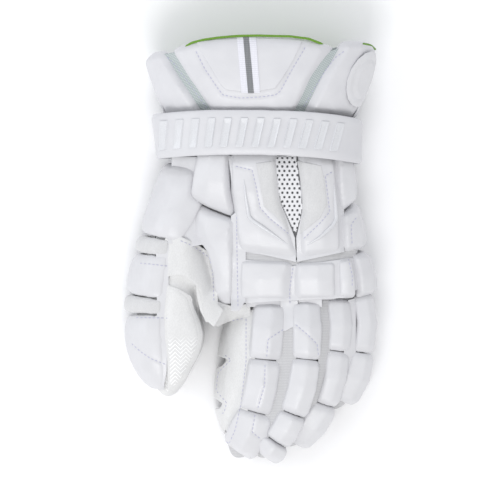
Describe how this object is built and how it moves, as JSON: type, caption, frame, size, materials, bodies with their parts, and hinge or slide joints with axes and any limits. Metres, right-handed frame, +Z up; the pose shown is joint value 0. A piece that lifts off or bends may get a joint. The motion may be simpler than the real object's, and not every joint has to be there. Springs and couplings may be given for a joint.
{
  "type": "lacrosse glove",
  "caption": "Left-hand padded sport glove with segmented back pads, a flared open cuff, a raised-bar wrist strap and hollow fingers and thumb.",
  "frame": {"origin": "on the surface it lies on, under the middle of its box", "axes": "+Z up out of the back of the hand, -Y towards the fingertips, +Y out of the cuff, -X towards the thumb"},
  "size_m": [0.1912, 0.321, 0.0837],
  "materials": {
    "pad_leather": "smooth white synthetic leather with a soft sheen",
    "palm_suede": "matt brushed synthetic suede",
    "stretch_fabric": "matt stretch cloth",
    "knit": "fine matt knit",
    "vent_mesh": "woven open mesh",
    "webbing": "woven webbing",
    "webbing_stripe": "grey woven stripe",
    "strap_rubber": "moulded soft strap with a satin face"
  },
  "bodies": {
    "root": {"palm_leather": "palm_suede", "back_fabric": "stretch_fabric", "index_sleeve": "stretch_fabric", "middle_sleeve": "stretch_fabric", "ring_sleeve": "stretch_fabric", "little_sleeve": "stretch_fabric", "thumb_sleeve": "palm_suede", "index_side_panel": "palm_suede", "thumb_web_patch": "palm_suede", "thumb_palm_panel": "palm_suede", "thumb_roll": "pad_leather", "thumb_band_upper": "palm_suede", "thumb_mid_pad": "pad_leather", "thumb_band_lower": "palm_suede", "thumb_end_pad": "pad_leather", "thumb_side_pad_upper": "pad_leather", "thumb_side_pad_lower": "pad_leather", "back_plate_thumb": "pad_leather", "back_plate_little": "pad_leather", "vee_thumb": "pad_leather", "vee_little": "pad_leather", "ridge_thumb": "pad_leather", "ridge_little": "pad_leather", "vent_mesh": "vent_mesh", "outer_pad_upper": "pad_leather", "outer_pad_lower": "pad_leather", "knuckle_pad_1": "pad_leather", "knuckle_pad_2": "pad_leather", "knuckle_pad_3": "pad_leather", "knuckle_pad_4": "pad_leather", "index_pad_1": "pad_leather", "index_pad_2": "pad_leather", "index_pad_3": "pad_leather", "middle_pad_1": "pad_leather", "middle_pad_2": "pad_leather", "middle_pad_3": "pad_leather", "middle_pad_4": "pad_leather", "ring_pad_1": "pad_leather", "ring_pad_2": "pad_leather", "ring_pad_3": "pad_leather", "little_pad_1": "pad_leather", "little_pad_2": "pad_leather", "cuff_liner": "knit", "cuff_centre_pad": "pad_leather", "cuff_wing_thumb": "pad_leather", "cuff_wing_little": "pad_leather", "cuff_inset_panel": "pad_leather", "cuff_ribbon": "webbing", "ribbon_stripe": "webbing_stripe", "cuff_badge": "strap_rubber", "wrist_strap": "strap_rubber"}
  },
  "joints": []
}
